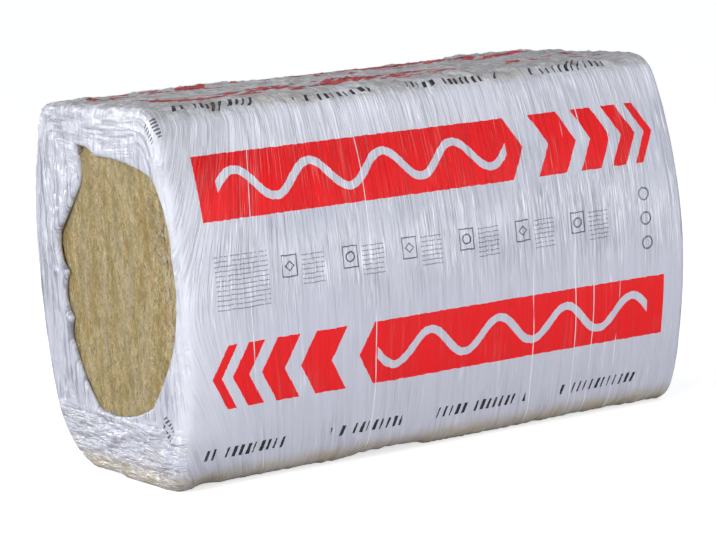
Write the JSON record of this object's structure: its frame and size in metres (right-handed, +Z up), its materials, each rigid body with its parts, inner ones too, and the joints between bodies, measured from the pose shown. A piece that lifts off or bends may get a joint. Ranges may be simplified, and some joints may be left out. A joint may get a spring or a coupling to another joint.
{
  "type": "pack of mineral wool insulation boards",
  "caption": "Stack of mineral wool boards standing on their long edges, held by a printed shrink-film sleeve that is open at both ends.",
  "frame": {"origin": "centre of the base of the pack, on the floor", "axes": "+X along the boards, away from the torn open end; -Y out of the printed front; +Z up"},
  "size_m": [1.002, 0.5479, 0.627],
  "materials": {
    "wool": "matt, fibrous",
    "film": "glossy, wrinkled"
  },
  "bodies": {
    "root": {"board_1": "wool", "board_2": "wool", "board_3": "wool", "board_4": "wool", "board_5": "wool", "board_6": "wool", "board_7": "wool", "film_wrap": "film"}
  },
  "joints": []
}
